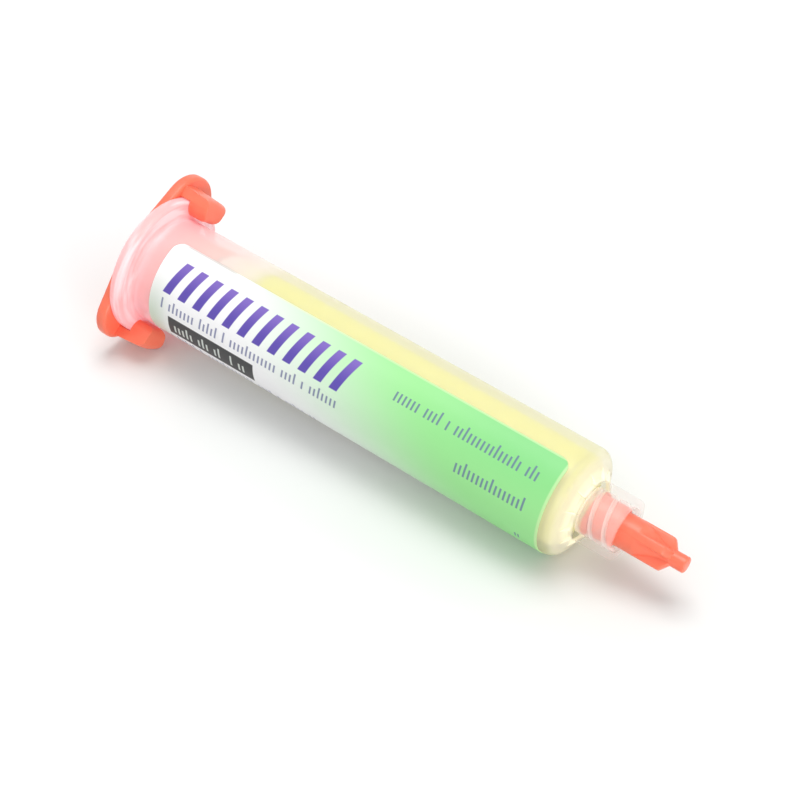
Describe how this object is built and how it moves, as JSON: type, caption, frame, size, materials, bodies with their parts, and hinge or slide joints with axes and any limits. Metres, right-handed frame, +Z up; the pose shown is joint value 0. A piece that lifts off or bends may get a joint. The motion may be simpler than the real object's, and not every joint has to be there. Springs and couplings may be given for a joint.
{
  "type": "flux syringe",
  "caption": "Dispensing syringe of soldering flux gel: capped barrel with piston, label, clip-on rear cap and finned nozzle cap, lying down.",
  "frame": {"origin": "centre of the footprint, on the surface that the syringe lies on", "axes": "+X along the barrel towards the nozzle, +Z up, the label faces -Y and up"},
  "size_m": [0.1121, 0.031, 0.0258],
  "materials": {
    "barrel_plastic": "translucent natural polypropylene, smooth with a soft sheen",
    "label_film": "printed film, white running into mint green, semi-gloss",
    "flux_gel": "pale yellow translucent gel, wet against the bore",
    "piston_plastic": "white moulded polyethylene",
    "cap_plastic": "salmon orange moulded polyethylene, smooth and slightly translucent"
  },
  "bodies": {
    "barrel": {"barrel": "barrel_plastic", "label": "label_film", "flux": "flux_gel"},
    "piston": {"piston": "piston_plastic"},
    "end_cap": {"end_cap": "cap_plastic"},
    "tip_cap": {"tip_cap": "cap_plastic"}
  },
  "joints": [
    {"name": "piston_slide", "type": "slide", "parent": "barrel", "child": "piston", "axis": [0.9993, 0, -0.037], "range_m": [-0.0009, 0.0655], "deforming": ["flux"]},
    {"name": "end_cap_pull", "type": "slide", "parent": "barrel", "child": "end_cap", "axis": [-0.9993, 0, 0.037], "range_m": [0, 0.02], "deforming": ["end_cap"]},
    {"name": "tip_cap_pull", "type": "slide", "parent": "barrel", "child": "tip_cap", "axis": [0.9993, 0, -0.037], "range_m": [0, 0.015]}
  ]
}
